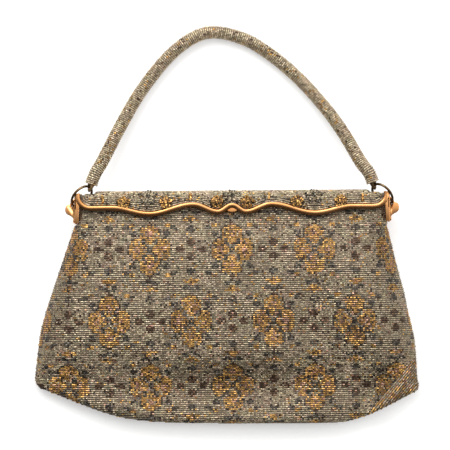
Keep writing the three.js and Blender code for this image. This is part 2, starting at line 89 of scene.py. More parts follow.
def finishMaterial(material, inputs):
    shader = addNode(material.node_tree, "ShaderNodeBsdfPrincipled", inputs)
    addNode(material.node_tree, "ShaderNodeOutputMaterial", {"Surface": shader.outputs["BSDF"]})
    return material


def newObject(name, mesh):
    piece = bpy.data.objects.new(name, mesh)
    collection.objects.link(piece)
    return piece


def meshFrom(name, points, faces):
    mesh = bpy.data.meshes.new(name)
    mesh.from_pydata([tuple(p) for p in points], [], faces)
    mesh.update()
    return mesh


# The evaluated object as a plain mesh, with no modifier left on it
def settle(piece):
    depsgraph = bpy.context.evaluated_depsgraph_get()
    made = piece.evaluated_get(depsgraph)
    mesh = bpy.data.meshes.new_from_object(made, preserve_all_data_layers=True, depsgraph=depsgraph)
    piece.modifiers.clear()
    piece.data = mesh
    return piece


# Gives a tree's named inputs to its modifier, by each socket's identifier
def setInputs(modifier, wanted):
    for socket in modifier.node_group.interface.items_tree:
        if socket.in_out == "INPUT" and socket.name in wanted:
            modifier[socket.identifier] = wanted[socket.name]


def smooth(mesh):
    for face in mesh.polygons:
        face.use_smooth = True


# A share that stays between 0 and 1
def clipped(value):
    return min(1.0, max(0.0, value))


def dress(piece, material, slotName, *replaced):
    piece.data.materials.clear()
    piece.data.materials.append(material)
    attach(piece, "root")
    if replaced:
        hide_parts(*replaced)
    return piece


# A copy of a node's mesh with its loose triangles merged
def mergedMesh(nodeName, name):
    mesh = nodes[nodeName].data.copy()
    mesh.name = name
    work = bmesh.new()
    work.from_mesh(mesh)
    bmesh.ops.remove_doubles(work, verts=work.verts, dist=mergeReach)
    work.to_mesh(mesh)
    work.free()
    mesh.materials.clear()
    return mesh


def treeOf(piece):
    mesh = piece.data
    return BVHTree.FromPolygons([v.co for v in mesh.vertices], [tuple(p.vertices) for p in mesh.polygons])


# Glass seed beads, two-cut: short hexagonal tubes with a metal lining, so each facet flashes on its own
beadFinishes = {
    "silver": {"dark": "#7a6d5a", "light": "#b9a98f", "metallic": 0.85, "roughness": 0.54},
    "gold": {"dark": "#836135", "light": "#d4a763", "metallic": 0.9, "roughness": 0.46},
    "rose": {"dark": "#84604e", "light": "#c39a82", "metallic": 0.85, "roughness": 0.46},
    "gunmetal": {"dark": "#38342f", "light": "#6b645a", "metallic": 0.9, "roughness": 0.38},
    "brown": {"dark": "#3c2d26", "light": "#69523f", "metallic": 0.85, "roughness": 0.42},
    "taupe": {"dark": "#84735c", "light": "#cfbd9f", "metallic": 0.5, "roughness": 0.44},
}
# How beads of one kind differ: patches in millimetres, the rest as shares
beadLots = {"drift": 20, "driftShare": 0.5, "toneShare": 0.75, "cast": 6, "castShare": 0.09,
            "darkEnd": 0.1, "lightEnd": 0.95, "duller": 0.1, "shinier": 0.06}


def beadMaterial(kind):
    finish = beadFinishes[kind]
    material, tree, place = newMaterial(f"{kind}-lined cut glass seed beads")
    tone = addNode(tree, "ShaderNodeAttribute", attribute_name="tone").outputs["Fac"]
    # Beads from different strings: a slow drift of colour
    drift = addNode(tree, "ShaderNodeTexNoise", {"Vector": place, "Scale": 1 / (beadLots["drift"] * mm)})
    share = addNode(
        tree, "ShaderNodeMath", {0: drift.outputs["Fac"], 1: beadLots["driftShare"]}, operation="MULTIPLY")
    mixed = addNode(
        tree, "ShaderNodeMath", {0: tone, 1: beadLots["toneShare"], 2: share.outputs[0]},
        operation="MULTIPLY_ADD", use_clamp=True)
    ramp = addNode(tree, "ShaderNodeValToRGB", {"Fac": mixed.outputs[0]})
    dark, light = ramp.color_ramp.elements
    dark.position = beadLots["darkEnd"]
    dark.color = toLinear(finish["dark"])
    light.position = beadLots["lightEnd"]
    light.color = toLinear(finish["light"])
    # Pink and green casts of the lining, in small patches
    cast = addNode(
        tree, "ShaderNodeTexNoise", {"Vector": place, "Scale": 1 / (beadLots["cast"] * mm), "Detail": 1.0})
    tinted = addNode(
        tree, "ShaderNodeMix",
        {0: beadLots["castShare"], 6: ramp.outputs["Color"], 7: cast.outputs["Color"]},
        data_type="RGBA", blend_type="OVERLAY")
    rough = addNode(
        tree, "ShaderNodeMapRange",
        {"Value": tone, "To Min": finish["roughness"] + beadLots["duller"],
         "To Max": finish["roughness"] - beadLots["shinier"]})
    return finishMaterial(material, {"Base Color": tinted.outputs[2], "Roughness": rough.outputs["Result"],
                                     "Metallic": finish["metallic"]})


beadMaterials = {kind: beadMaterial(kind) for kind in beadFinishes}

# Woven silk faille behind the beads: dull, with painted shade: its colour is darkened where the thread
# shadows fall between the rows.
# Its ribs are drawn about 3 mm apart, coarser than real ones, so that they show
silk = {"ribScale": 100.0, "waver": 0.6, "speck": 1.5, "dark": "#3b3127", "light": "#75685a",
        "ribHeight": 0.1, "ribStrength": 0.4, "roughness": 0.75}
cloth, tree, place = newMaterial("woven silk faille under the beads")
threads = addNode(
    tree, "ShaderNodeTexWave",
    {"Vector": place, "Scale": silk["ribScale"], "Distortion": silk["waver"], "Detail": 1.0},
    bands_direction="Y").outputs["Fac"]
speck = addNode(tree, "ShaderNodeTexNoise", {"Vector": place, "Scale": 1 / (silk["speck"] * mm)})
share = addNode(tree, "ShaderNodeMath", {0: threads, 1: speck.outputs["Fac"]}, operation="MULTIPLY")
# Painted shade: the silk's own dull colour goes darker in the hollows between its ribs, with random specks on
# top
ramp = addNode(tree, "ShaderNodeValToRGB", {"Fac": share.outputs[0]})
dark, light = ramp.color_ramp.elements
dark.color = toLinear(silk["dark"])
light.color = toLinear(silk["light"])
bump = addNode(
    tree, "ShaderNodeBump",
    {"Height": threads, "Distance": silk["ribHeight"] * mm, "Strength": silk["ribStrength"]})
finishMaterial(cloth, {"Base Color": ramp.outputs["Color"], "Normal": bump.outputs["Normal"],
                       "Roughness": silk["roughness"]})

# Gilt brass, rolled and polished: a warm mirror with fine handling marks, darker where polish never reached
giltFinish = {"patch": 14, "detail": 2.0, "darkEnd": 0.3, "dark": "#cd8f57", "lightEnd": 0.65,
              "light": "#dda26b", "darkRough": 0.27, "lightRough": 0.37}
# Brass wire darkened in a chemical bath: brown-black in the hollows, rubbed lighter on top
antiqueFinish = {"patch": 2.5, "detail": 4.0, "darkEnd": 0.35, "dark": "#3a2d1f", "lightEnd": 0.7,
                 "light": "#8a7050", "darkRough": 0.45, "lightRough": 0.28}


def metalMaterial(name, finish):
    material, tree, place = newMaterial(name)
    wear = addNode(
        tree, "ShaderNodeTexNoise",
        {"Vector": place, "Scale": 1 / (finish["patch"] * mm), "Detail": finish["detail"]}).outputs["Fac"]
    ramp = addNode(tree, "ShaderNodeValToRGB", {"Fac": wear})
    dark, light = ramp.color_ramp.elements
    dark.position = finish["darkEnd"]
    dark.color = toLinear(finish["dark"])
    light.position = finish["lightEnd"]
    light.color = toLinear(finish["light"])
    rough = addNode(
        tree, "ShaderNodeMapRange",
        {"Value": wear, "To Min": finish["darkRough"], "To Max": finish["lightRough"]})
    return finishMaterial(
        material,
        {"Base Color": ramp.outputs["Color"], "Roughness": rough.outputs["Result"], "Metallic": 1.0})


gilt = metalMaterial("polished gilt brass", giltFinish)
antiqueBrass = metalMaterial("antique brass, chemically darkened", antiqueFinish)
print("materials made")

# Strips over the frame: the section is an arc about a line along the bag, with a short straight foot
strip = {"middleX": 4.45, "hingeY": 3.9, "hingeZ": 11.75, "arcUp": 9.4, "radius": 10.0, "lift": -0.1,
         "across": 1.213, "down": 1.33, "sink": 0.4, "rows": 15, "columns": 86, "room": 0.35,
         "edging": 2, "edge": 0.75, "tuck": 1.3, "tuckFrom": 97, "tuckRun": 3, "probe": 5, "near": 1,
         "strings": {"silver": 0.84, "gunmetal": 0.07, "brown": 0.05, "gold": 0.04}}

# Pouch cloth: the part's own sheets, softened and thinned to leave room for the beads
pouchCloth = {
    "levels": 2, "sink": 0.45,
    # Shallow swells and hollows of the lying front, in millimetres: x, y, width, height and rise
    "dents": [
        (-82, -38, 24, 15, 1.0),
        (-30, -52, 26, 16, -0.8),
        (22, -30, 20, 14, -0.9),
        (62, -30, 18, 14, 0.8),
        (66, -62, 15, 30, -1.0),
        (56, -58, 6, 28, -2.2),
        (-72, -82, 30, 12, 0.8),
        (10, -84, 30, 10, 0.9),
        (96, -62, 14, 24, 0.8),
        (-104, -66, 14, 22, 0.8),
    ],
    # How the contents have slid: the front stands fuller under the frame and sinks towards the foot
    "slideY": [-135, -131, -126, -120, -112, -104, -96, -88, -75, -60, -45, -30, -15, -4, 8],
    "sag": [2.5, 3.0, 3.0, 2.4, 0.8, -1.8, -3.4, -4.0, -3.5, -1.5, 0.2, 1.4, 2.0, 1.2, 0.0],
    "sagReach": 120.0,
    # The fold where they end, along the middle of the foot
    "fold": [3.0, 1.0, -1.2, -3.4, -4.8, -2.0, 2.6, 3.8, 1.0, 0.0, 0.0, 0.0, 0.0, 0.0, 0.0],
    "foldMiddle": 4.0,
    "foldReach": 64.0,
    # Sag and fold are evened out this far up and down, and nothing moves below the seam's height
    "even": 4, "seam": 5, "seamRun": 4,
    # The cloth is drawn into the frame's corners, under the rail and the flanges
    "corner": {"across": 97.0, "run": 4.0, "foot": -4.0, "out": 2.9, "up": 3.2,
               "depth": 2, "depthRun": 1.5, "upRun": 5},
    # Angles of the sheet's mesh, in radians
    "flat": 0.7, "square": 0.9, "sharp": 0.9,
}

# The folded corner at the right foot, where the rows run along the fold, with the ridge of the fold
# and the hollow beside it
flap = {
    "fromX": 93.3, "fromY": -131.6, "toX": 118.1, "toY": -102.4, "rows": 22, "reach": 60.0,
    "column": 14, "row": 24, "fewest": 4,
    "strings": {"gold": 0.3, "rose": 0.14, "silver": 0.56},
    "middle": 19.0, "half": 26.0,
    "waves": [{"inside": -6.0, "wide": 5.0, "rise": -2.6}, {"inside": 3.0, "wide": 4.0, "rise": 2.2}],
}
flapAlong = Vector((flap["toX"] - flap["fromX"], flap["toY"] - flap["fromY"])).normalized()


# How far a place lies inside the fold, and how far along it, in millimetres
def flapPlace(x, y):
    away = Vector((x / mm - flap["fromX"], y / mm - flap["fromY"]))
    return flapAlong.y * away.x - flapAlong.x * away.y, flapAlong.dot(away)


def profileAt(y, name):
    near = [y / mm - pouchCloth["even"], y / mm, y / mm + pouchCloth["even"]]
    return float(np.interp(near, pouchCloth["slideY"], pouchCloth[name]).mean())


# Nothing moves at the seam round the edge, which lies low
def dentAt(x, y, z):
    rise = 0.0
    for dentX, dentY, wide, tall, dentRise in pouchCloth["dents"]:
        far = ((x / mm - dentX) / wide) ** 2 + ((y / mm - dentY) / tall) ** 2
        rise += dentRise * math.exp(-far)
    rise += profileAt(y, "sag") * max(0.0, 1 - (x / mm / pouchCloth["sagReach"]) ** 4)
    away = (x / mm - pouchCloth["foldMiddle"]) / pouchCloth["foldReach"]
    rise += profileAt(y, "fold") * math.exp(-away ** 4)
    inside, length = flapPlace(x, y)
    ends = math.exp(-((length - flap["middle"]) / flap["half"]) ** 4)
    for wave in flap["waves"]:
        rise += wave["rise"] * ends * math.exp(-((inside - wave["inside"]) / wave["wide"]) ** 2)
    return rise * clipped((z / mm - pouchCloth["seam"]) / pouchCloth["seamRun"]) * mm


def drawIntoCorner(point):
    corner = pouchCloth["corner"]
    across = point.x / mm - strip["middleX"]
    up = point.y / mm - strip["hingeY"]
    share = clipped((abs(across) - corner["across"]) / corner["run"])
    share *= clipped((point.z / mm - strip["hingeZ"] - corner["depth"]) / corner["depthRun"])
    if up > corner["foot"]:
        point.x += math.copysign(corner["out"] * share, across) * mm
        point.y += corner["up"] * share * clipped(up / corner["upRun"]) * mm


def softSheet(nodeName, name, levels, sink):
    mesh = mergedMesh(nodeName, name)
    work = bmesh.new()
    work.from_mesh(mesh)
    bmesh.ops.join_triangles(work, faces=work.faces, angle_face_threshold=pouchCloth["flat"],
                             angle_shape_threshold=pouchCloth["square"])
    work.normal_update()
    for point in work.verts:
        point.co -= point.normal * sink * mm
    crease = work.edges.layers.float.new("crease_edge")
    for edge in work.edges:
        if edge.is_manifold and edge.calc_face_angle() > pouchCloth["sharp"]:
            edge[crease] = 1.0  # seam and mouth edges keep their line
    work.to_mesh(mesh)
    work.free()
    smooth(mesh)
    piece = newObject(name, mesh)
    if levels:
        soft = piece.modifiers.new("soften", "SUBSURF")
        soft.levels = levels
        soft.render_levels = levels
        settle(piece)
    return piece


frontSheet = softSheet("front_pouch_cloth", "pouch_front_silk", pouchCloth["levels"], pouchCloth["sink"])
backSheet = softSheet("back_pouch_cloth", "pouch_back_silk", pouchCloth["levels"], pouchCloth["sink"])
for point in frontSheet.data.vertices:
    point.co.z += dentAt(*point.co)
    drawIntoCorner(point.co)
dress(frontSheet, cloth, "beaded_cloth", "front_pouch_cloth")
dress(backSheet, cloth, "beaded_cloth", "back_pouch_cloth")
print("pouch cloth softened")


# A new tree with geometry in and out and these other named inputs
def newTree(name, inputs):
    tree = bpy.data.node_groups.new(name, "GeometryNodeTree")
    for socketName, kind in {"Geometry": "Geometry", **inputs}.items():
        tree.interface.new_socket(socketName, in_out="INPUT", socket_type=f"NodeSocket{kind}")
    tree.interface.new_socket("Geometry", in_out="OUTPUT", socket_type="NodeSocketGeometry")
    return tree, addNode(tree, "NodeGroupInput").outputs


# Every tree ends in plain, painted geometry
def endTree(tree, geometry, finish):
    real = addNode(tree, "GeometryNodeRealizeInstances", {"Geometry": geometry})
    painted = addNode(tree, "GeometryNodeSetMaterial", {"Geometry": real.outputs["Geometry"],
                                                        "Material": finish})
    addNode(tree, "NodeGroupOutput", {"Geometry": painted.outputs["Geometry"]})
    return tree


beadSizes = {"least": 0.92, "most": 1.06, "toneSeed": 7.0}


# Beads sewn at given points: each point carries its own turn, with the thread along the bead's hole
def beadTree():
    tree, given = newTree("sewnBeads", {"Bead Length": "Float", "Bead Width": "Float", "Bead Sides": "Int",
                                        "Tilt": "Float", "Seed": "Int", "Finish": "Material"})
    radius = addNode(tree, "ShaderNodeMath", {0: given["Bead Width"], 1: 0.5}, operation="MULTIPLY")
    bead = addNode(
        tree, "GeometryNodeMeshCylinder",
        {"Vertices": given["Bead Sides"], "Radius": radius.outputs[0], "Depth": given["Bead Length"]},
        fill_type="NGON")
    sewn = addNode(tree, "GeometryNodeInputNamedAttribute", {"Name": "beadTurn"}, data_type="QUATERNION")
    least = addNode(tree, "ShaderNodeMath", {0: given["Tilt"], 1: -1.0}, operation="MULTIPLY")
    low = addNode(tree, "ShaderNodeCombineXYZ", {"X": least.outputs[0], "Y": least.outputs[0]})
    high = addNode(tree, "ShaderNodeCombineXYZ", {"X": given["Tilt"], "Y": given["Tilt"], "Z": math.tau})
    lean = addNode(
        tree, "FunctionNodeRandomValue", {0: low.outputs[0], 1: high.outputs[0], "Seed": given["Seed"]},
        data_type="FLOAT_VECTOR")
    turn = addNode(
        tree, "FunctionNodeRotateRotation",
        {"Rotation": sewn.outputs["Attribute"], "Rotate By": lean.outputs[0]}, rotation_space="LOCAL")
    size = addNode(
        tree, "FunctionNodeRandomValue",
        {2: beadSizes["least"], 3: beadSizes["most"], "Seed": given["Seed"]}, data_type="FLOAT")
    placed = addNode(
        tree, "GeometryNodeInstanceOnPoints",
        {"Points": given["Geometry"], "Instance": bead.outputs["Mesh"], "Rotation": turn.outputs[0],
         "Scale": size.outputs[1]})
    toneSeed = addNode(tree, "ShaderNodeMath", {0: given["Seed"], 1: beadSizes["toneSeed"]}, operation="ADD")
    tone = addNode(
        tree, "FunctionNodeRandomValue", {2: 0.0, 3: 1.0, "Seed": toneSeed.outputs[0]}, data_type="FLOAT")
    stored = addNode(
        tree, "GeometryNodeStoreNamedAttribute",
        {"Geometry": placed.outputs["Instances"], "Name": "tone", "Value": tone.outputs[1]},
        data_type="FLOAT", domain="INSTANCE")
    return endTree(tree, stored.outputs["Geometry"], given["Finish"])


sewnBeads = beadTree()


# places: (point, direction of the thread, direction out of the cloth)
def sewBeads(name, places, kind, bead, seed, slotName="beaded_cloth"):
    mesh = meshFrom(name, [p for p, _, _ in places], [])
    turns = mesh.attributes.new("beadTurn", "QUATERNION", "POINT")
    values = []
    for _, along, out in places:
        z = Vector(along).normalized()
        x = Vector(out) - z * z.dot(Vector(out))
        x.normalize()
        values.extend(Matrix((x, z.cross(x), z)).transposed().to_quaternion())
    turns.data.foreach_set("value", values)
    piece = newObject(name, mesh)
    sewing = piece.modifiers.new("sewing", "NODES")
    sewing.node_group = sewnBeads
    setInputs(sewing, {"Bead Length": bead["length"] * mm, "Bead Width": bead["width"] * mm,
                       "Bead Sides": bead["sides"], "Tilt": bead["tilt"], "Seed": seed,
                       "Finish": beadMaterials[kind]})
    settle(piece)
    return dress(piece, beadMaterials[kind], slotName)


# The sewn pattern, in bead counts from the middle of a four-lobed gold medallion. The repeat is 46 by 70
# beads, mirrored both ways, and every second medallion is dropped by half a repeat. The first spot that
# covers a bead wins, and an outline takes only beads that no spot covers
pattern = {
    "halfAcross": 23,
    "halfDown": 35,
    # Across, down, half width, half height, bead, and how far the outline reaches
    "spots": [
        (0, 0, 0.9, 0.9, "gold", 0),
        (0, 0, 1.7, 1.9, "gunmetal", 0),
        (3.3, 4.0, 1.1, 1.4, "gunmetal", 0),
        (7.1, 0, 1.6, 1.5, "rose", 0),
        (6.8, 0, 5.0, 5.6, "gold", 1.36),
        (0, 8.1, 1.8, 1.5, "rose", 0),
        (0, 7.6, 6.0, 4.8, "gold", 1.36),
        (9.4, 8.4, 1.9, 1.6, "gunmetal", 0),
        (9.8, 12.4, 1.5, 1.2, "gold", 0),
        (13.4, 11.4, 1.7, 1.3, "gunmetal", 0),
        (0, 13.4, 1.2, 0.8, "brown", 0),
        (0, 15.4, 1.6, 1.3, "gunmetal", 0),
        (3, 16.4, 2.2, 1.3, "gunmetal", 0),
        (23, 16.6, 1.6, 1.0, "gold", 0),
        (23, 15.2, 4.4, 1.2, "gold", 0),
        (23, 10.8, 2.3, 1.9, "gunmetal", 0),
        (23, 3.7, 2.4, 2.0, "brown", 0),
        (16.6, 0, 2.4, 2.0, "brown", 0),
    ],
    "outlineShare": 0.6,
    # Beads of other strings that got sewn in, as shares
    "strays": {
        "silver": {"gunmetal": 0.03, "gold": 0.025, "rose": 0.02, "brown": 0.02},
        "gold": {"brown": 0.12, "rose": 0.08, "silver": 0.08, "gunmetal": 0.03},
        "gunmetal": {"silver": 0.1, "brown": 0.08},
        "brown": {"silver": 0.08, "rose": 0.06},
        "rose": {"gold": 0.3, "brown": 0.1},
    },
}


def strayBead(kind, rng):
    draw = rng.random()
    for other, share in pattern["strays"][kind].items():
        draw -= share
        if draw < 0:
            return other
    return kind


def beadKind(across, down, rng):
    wide, tall = pattern["halfAcross"], pattern["halfDown"]
    a = abs((across + wide) % (2 * wide) - wide)
    d = abs((down + tall) % (2 * tall) - tall)
    outlined = False
    for spotAcross, spotDown, spotWide, spotTall, bead, outline in pattern["spots"]:
        for x, y in ((a, d), (wide - a, tall - d)):
            reach = ((x - spotAcross) / spotWide) ** 2 + ((y - spotDown) / spotTall) ** 2
            if reach <= 1:
                return strayBead(bead, rng)
            outlined = outlined or reach <= outline
    if outlined and rng.random() < pattern["outlineShare"]:
        return "gunmetal"
    return strayBead("silver", rng)


# Rows of beads on the pouch, level across the front and the back
pouchRows = {
    "across": 1.213, "down": 1.4, "sample": 0.3, "lift": -0.02, "middle": (4.2, -16.2),
    "shake": 0.05, "clear": 0.68, "fewest": 8, "split": -58, "rayHeight": 100,
}
frontBead = {"length": 1.12, "width": 1.12, "sides": 6, "tilt": 0.16}
backBead = {**frontBead, "sides": 4}


# Where a line straight down on the front, or straight up on the back, meets a surface
def meet(surface, x, y, face):
    start = Vector((x, y, face * pouchRows["rayHeight"] * mm))
    return surface.ray_cast(start, Vector((0, 0, -face)))[:2]


# Points and normals of a surface along a straight line across the bag, with how far along each one is
def traceLine(surface, start, along, length, face):
    places, outs, marks = [], [], []
    step = pouchRows["sample"] * mm
    for i in range(int(length / step) + 1):
        point, normal = meet(surface, start[0] + along[0] * i * step, start[1] + along[1] * i * step, face)
        if point is not None:
            places.append(point)
            outs.append(normal)
            marks.append(i * step)
    return np.array(places), np.array(outs), np.array(marks)


# Length along a line at each of its points
def lengthAlong(points):
    return np.concatenate([[0.0], np.cumsum(np.linalg.norm(np.diff(points, axis=0), axis=1))])


# Values at some lengths, column by column
def valuesAt(at, length, values):
    return np.stack([np.interp(at, length, column) for column in values.T], axis=1)


# Places at even steps of length along a traced line, counted from a mark
def evenSteps(trace, mark, step):
    places, outs, marks = trace
    length = lengthAlong(places)
    zero = np.interp(mark, marks, length)
    if mark < marks[0]:
        zero -= marks[0] - mark
    if mark > marks[-1]:
        zero += mark - marks[-1]
    count = np.arange(math.ceil(-zero / step), math.floor((length[-1] - zero) / step) + 1)
    at = zero + count * step
    return count, valuesAt(at, length, places), valuesAt(at, length, outs)


def flapRows(surface, found, rng):
    along = flapAlong
    start = Vector((flap["fromX"], flap["fromY"])) * mm
    reach = flap["reach"] * mm
    for row in range(flap["rows"]):
        side = Vector((along.y, -along.x)) * (row + 0.5) * pouchRows["down"] * mm
        trace = traceLine(surface, start + side - along * reach, along, 2 * reach, 1)
        if len(trace[0]) < flap["fewest"]:
            continue
        count, points, normals = evenSteps(trace, reach, pouchRows["across"] * mm)
        for column, point, normal in zip(count, points, normals):
            kind = beadKind(int(column) + flap["column"], row + flap["row"], rng)
            if kind != "gold":
                kind = rng.choices(list(flap["strings"]), flap["strings"].values())[0]
            found[kind].append((sewnPlace(point, normal, rng), (*along, 0), normal))


# Sewn by hand, so no bead sits quite true
def shaken(place, rng):
    return place + Vector([rng.uniform(-1, 1) for _ in range(3)]) * pouchRows["shake"] * mm


def sewnPlace(point, normal, rng):
    at = shaken(Vector(point) + Vector(normal).normalized() * pouchRows["lift"] * mm, rng)
    at.z = max(at.z, frontBead["width"] * pouchRows["clear"] * mm)  # on the table, not in it
    return at


def beadRows(sheet, half, face, seed):
    rng = random.Random(seed)
    surface = treeOf(sheet)
    covers = [treeOf(nodes[f"{half}_{name}"]) for name in ("rail", "top_panel")]
    midX, midY = (v * mm for v in pouchRows["middle"])
    trace = traceLine(surface, (midX, cadHigh.y), (0, -1), cadHigh.y - cadLow.y, face)
    rows, starts, _ = evenSteps(trace, cadHigh.y - midY, pouchRows["down"] * mm)
    found = {kind: [] for kind in pattern["strays"]}
    for row, start in zip(rows, starts):
        trace = traceLine(surface, (cadLow.x, start[1]), (1, 0), cadHigh.x - cadLow.x, face)
        if len(trace[0]) < pouchRows["fewest"]:
            continue
        count, points, normals = evenSteps(trace, midX - cadLow.x, pouchRows["across"] * mm)
        alongs = np.gradient(points, axis=0) if len(points) > 1 else np.array([[1.0, 0, 0]])
        for column, point, normal, along in zip(count, points, normals, alongs):
            if any(meet(cover, point[0], point[1], face)[0] for cover in covers):
                continue
            if face > 0 and flapPlace(point[0], point[1])[0] > 0:
                continue
            kind = beadKind(int(column), int(row), rng)
            found[kind].append((sewnPlace(point, normal, rng), along, normal))
    if face > 0:
        flapRows(surface, found, rng)
    return found


def counts(found):
    return {kind: len(places) for kind, places in found.items()}


frontBeads = beadRows(frontSheet, "front", 1, seed=3)
for kind, places in frontBeads.items():
    if kind == "silver":
        upper = [p for p in places if p[0].y > pouchRows["split"] * mm]
        lower = [p for p in places if p[0].y <= pouchRows["split"] * mm]
        sewBeads("front_silver_beads_upper", upper, kind, frontBead, seed=11)
        sewBeads("front_silver_beads_lower", lower, kind, frontBead, seed=12)
    else:
        sewBeads(f"front_{kind}_beads", places, kind, frontBead, seed=13)
print("front beads", counts(frontBeads))

backBeads = beadRows(backSheet, "back", -1, seed=5)
for kind, places in backBeads.items():
    sewBeads(f"back_{kind}_beads", places, kind, backBead, seed=21)
print("back beads", counts(backBeads))


# A place on the strip: across and length from the frame's middle, and the way out of it
def stripPlace(across, length, face, lift):
    turn = (length - strip["arcUp"]) / strip["radius"] if length > strip["arcUp"] else 0.0
    flat = min(length, strip["arcUp"])
    reach = strip["radius"] + lift
    up = flat + reach * math.sin(turn)
    depth = reach * math.cos(turn)
    out = Vector((0, math.sin(turn), face * math.cos(turn)))
    place = Vector((strip["middleX"] + across, strip["hingeY"] + up, strip["hingeZ"] + face * depth)) * mm
    return place, out


# Rail, seen from the front: the wave, the rounded corners and the ends
rail = {
    "half": 1.7, "back": 8.2, "front": 11.6, "corner": 8.8, "endAcross": 105.0, "top": 18.4,
    "waveSteps": 120, "cornerSteps": 14, "sharp": 0.6,
    "wave": [(0, 9.7), (9.5, 5.3), (26.6, 10.2), (56.3, 4.1), (82, 8.4), (96.2, 8.3)],
    "section": [(-1.7, 1.7), (0.6, 1.7), (1.15, 1.55), (1.5, 1.25), (1.68, 0.8), (1.7, 0.2), (1.62, -0.4),
                (1.45, -0.95), (1.2, -1.4), (1.0, -1.7), (-1.7, -1.7)],
}


def waveUp(across):
    reach = abs(across)
    for (a, up), (b, nextUp) in zip(rail["wave"], rail["wave"][1:]):
        if reach <= b:
            return up + (nextUp - up) * (1 - math.cos(math.pi * (reach - a) / (b - a))) / 2
    return rail["wave"][-1][1]


def railLine():
    cornerAcross = rail["endAcross"] - rail["corner"]
    cornerUp = rail["wave"][-1][1] + rail["corner"]
    places = [cornerAcross * i / rail["waveSteps"] for i in range(rail["waveSteps"] + 1)]
    half = [(across, waveUp(across)) for across in places]
    for i in range(1, rail["cornerSteps"] + 1):
        turn = math.pi / 2 * i / rail["cornerSteps"]
        across = cornerAcross + rail["corner"] * math.sin(turn)
        half.append((across, cornerUp - rail["corner"] * math.cos(turn)))
    half.append((rail["endAcross"], rail["top"]))
    return [(-a, u) for a, u in reversed(half[1:])] + half


# A line beside the rail's, on the strip's side, as even steps of across, up and direction
def besideRail(away, step):
    line = np.array(railLine())
    ways = np.gradient(line, axis=0)
    ways /= np.linalg.norm(ways, axis=1)[:, None]
    beside = line + np.stack([-ways[:, 1], ways[:, 0]], axis=1) * away
    length = lengthAlong(beside)
    return valuesAt(np.arange(step / 2, length[-1], step), length, np.hstack([beside, ways]))


def lengthAtUp(up):
    if up <= strip["arcUp"]:
        return up
    return strip["arcUp"] + strip["radius"] * math.asin(min(1.0, (up - strip["arcUp"]) / strip["radius"]))


def onStrip(surface, place, out):
    hit = surface.ray_cast(place + out * strip["probe"] * mm, -out)[0]
    return hit is not None and (hit - place).length < strip["near"] * mm


# Shares out sewn places among strings of beads
def mixedStrings(places, strings, seed):
    rng = random.Random(seed)
    found = {kind: [] for kind in strings}
    for place in places:
        found[rng.choices(list(strings), strings.values())[0]].append(place)
    return found


# Two rows of beads edge the rail, and level rows fill the strip above them
def stripRows(nodeName, face, seed):
    rng = random.Random(seed)
    surface = treeOf(nodes[nodeName])
    found = []

    def sew(across, length, along):
        place, out = stripPlace(across, length, face, strip["lift"])
        if onStrip(surface, place, out):
            rise = Vector((0, out.z * face, -out.y * face))
            found.append((shaken(place, rng), Vector((along[0], 0, 0)) + rise * along[1], out))

    for row in range(strip["edging"]):
        away = rail["half"] + strip["edge"] + row * strip["down"]
        for across, up, wayAcross, wayUp in besideRail(away, strip["across"]):
            sew(across, lengthAtUp(up), (wayAcross, wayUp))
    room = rail["half"] + strip["edge"] + (strip["edging"] - strip["room"]) * strip["down"]
    edge = besideRail(0.0, strip["across"])
    for row in range(strip["rows"]):
        length = strip["arcUp"] + strip["radius"] * (math.pi / 2) - (row + 0.5) * strip["down"]
        up = stripPlace(0.0, length, face, 0.0)[0].y / mm - strip["hingeY"]
        for column in range(-strip["columns"], strip["columns"] + 1):
            across = (column + (0.5 if row % 2 else 0.0)) * strip["across"]
            if np.hypot(edge[:, 0] - across, edge[:, 1] - up).min() > room:
                sew(across, length, (1.0, 0.0))
    return found


for name, face in (("front", 1), ("back", -1)):
    base = softSheet(f"{name}_top_panel", f"{name}_strip_silk", 0, strip["sink"])
    for point in base.data.vertices:
        # The silk is tucked under the rail at its rounded corners
        across = point.co.x / mm - strip["middleX"]
        share = clipped((abs(across) - strip["tuckFrom"]) / strip["tuckRun"])
        point.co.x += math.copysign(strip["tuck"] * share, across) * mm
    dress(base, cloth, "beaded_cloth", f"{name}_top_panel")
    places = stripRows(f"{name}_top_panel", face, seed=31)
    mixed = mixedStrings(places, strip["strings"], seed=33)
    for kind, some in mixed.items():
        sewBeads(f"{name}_strip_{kind}_beads", some, kind, frontBead, seed=32)
    print(name, "strip beads", counts(mixed))

# Raised bead flowers on the front strip, made of rings of beads and of petals, which are small loops of beads
rosettes = [{"across": a, "length": 11.9} for a in (-73.6, -45, -10, 10, 44, 73.6)]
# Bead, distance from the centre, petals or none, size of a petal, beads in a ring or petal, turn and lift
rosetteParts = [
    ("gold", 2.8, 5, 1.15, 5, 0, 1.0),
    ("gold", 0.8, 0, 0, 3, 0.2, 1.7),
    ("brown", 1.6, 0, 0, 6, 0.6, 1.3),
    ("brown", 2.9, 0, 0, 9, 0.2, 0.9),
    ("brown", 4.3, 0, 0, 11, 0.3, 0.6),
]
leaves = [{"across": a, "length": 16.3} for a in (-57.2, 0, 55.6)]
leafParts = [
    ("silver", 3.1, 5, 1.1, 5, 0, 0.9),
    ("gunmetal", 1.2, 0, 0, 4, 0.5, 1.0),
    ("gunmetal", 4.4, 5, 1.6, 5, 0, 0.8),
]
bars = [{"across": a, "length": b} for a, b in ((-88, 14.6), (-28.4, 15.8), (25, 16.2), (88.4, 14.2))]
barBeads = {"half": 2, "stagger": 0.3, "step": 1.1, "ring": 0.05, "lift": 0.9}
flowerBead = {"length": 1.25, "width": 1.45, "sides": 6, "tilt": 0.5}
flowerPieces = {"gold": ("gold_flowers", 41), "brown": ("brown_flowers", 45),
                "gunmetal": ("gunmetal_outlines", 42), "silver": ("silver_leaves", 43)}
flowerRandom = random.Random(44)


